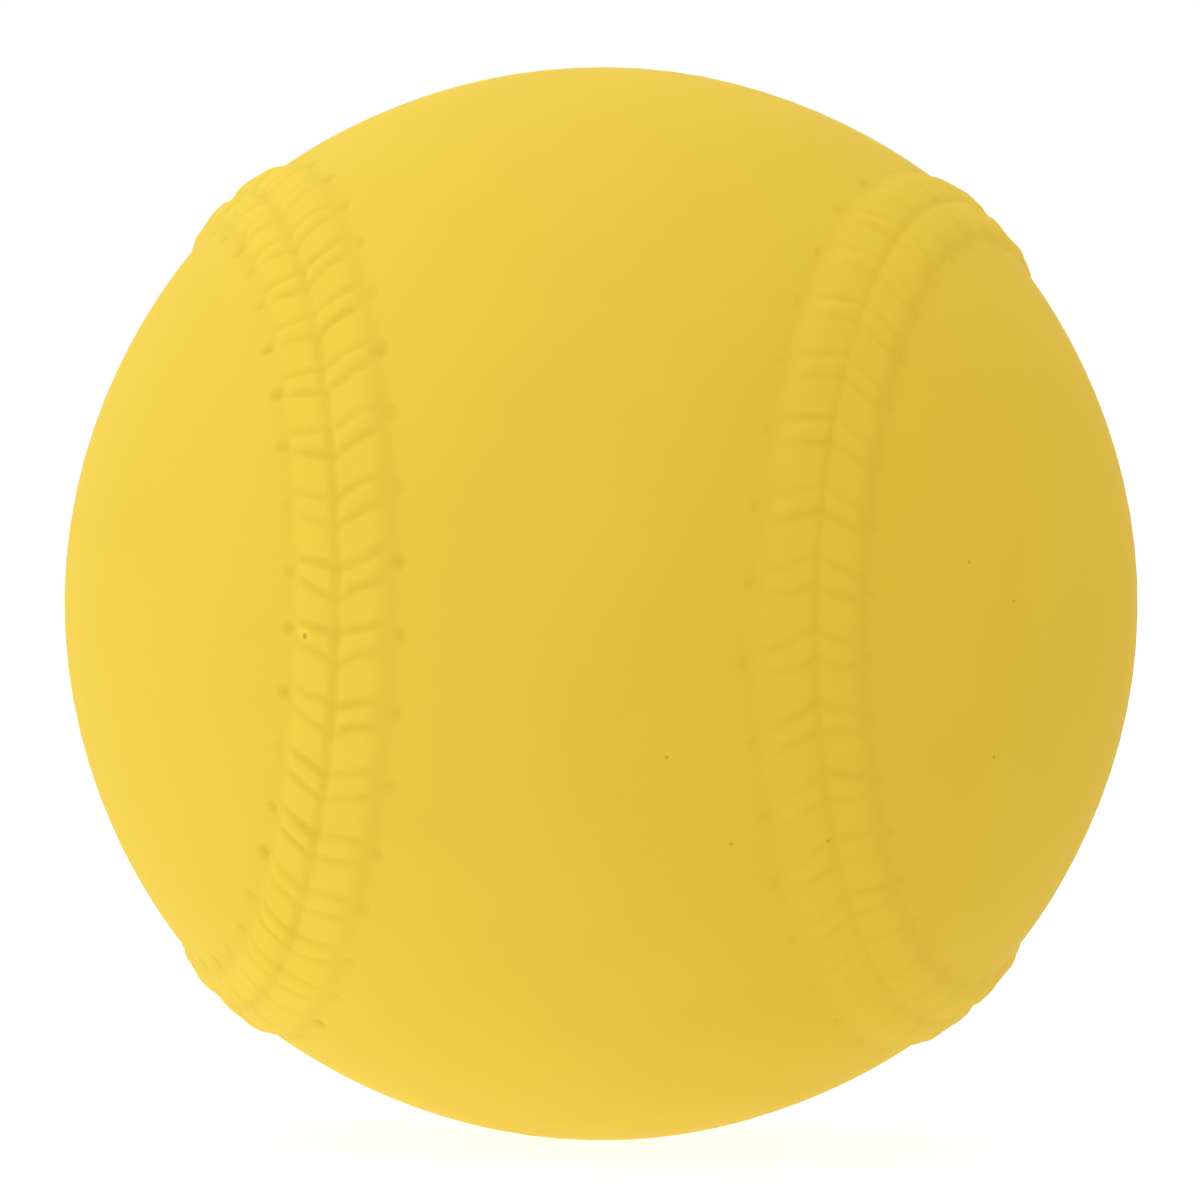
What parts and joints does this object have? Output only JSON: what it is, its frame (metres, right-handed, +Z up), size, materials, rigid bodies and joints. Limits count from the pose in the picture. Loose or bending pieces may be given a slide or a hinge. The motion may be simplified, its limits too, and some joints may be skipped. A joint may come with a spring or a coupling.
{
  "type": "softball",
  "caption": "Moulded yellow softball: round core, yarn winding and cement coat in two bonded rubber cover halves with a raised moulded seam and stitch pattern.",
  "frame": {"origin": "middle of the ball", "axes": "+Z up, square to the parting plane between the cover halves; -Y to the front, where one panel is narrowest between its two seams; +X to the right of someone facing that front"},
  "size_m": [0.097, 0.097, 0.097],
  "materials": {
    "cover_rubber": "smooth moulded rubber, satin, one yellow all over",
    "rubber_cement": "dried latex coat, slightly glossy, milky amber",
    "winding_yarn": "tightly wound undyed yarn, matte",
    "cork_rubber": "cork granules in brown rubber, matte"
  },
  "bodies": {
    "root": {"centre_core": "cork_rubber", "yarn_winding": "winding_yarn", "cement_coat": "rubber_cement", "cover_upper_half": "cover_rubber", "cover_lower_half": "cover_rubber"}
  },
  "joints": []
}
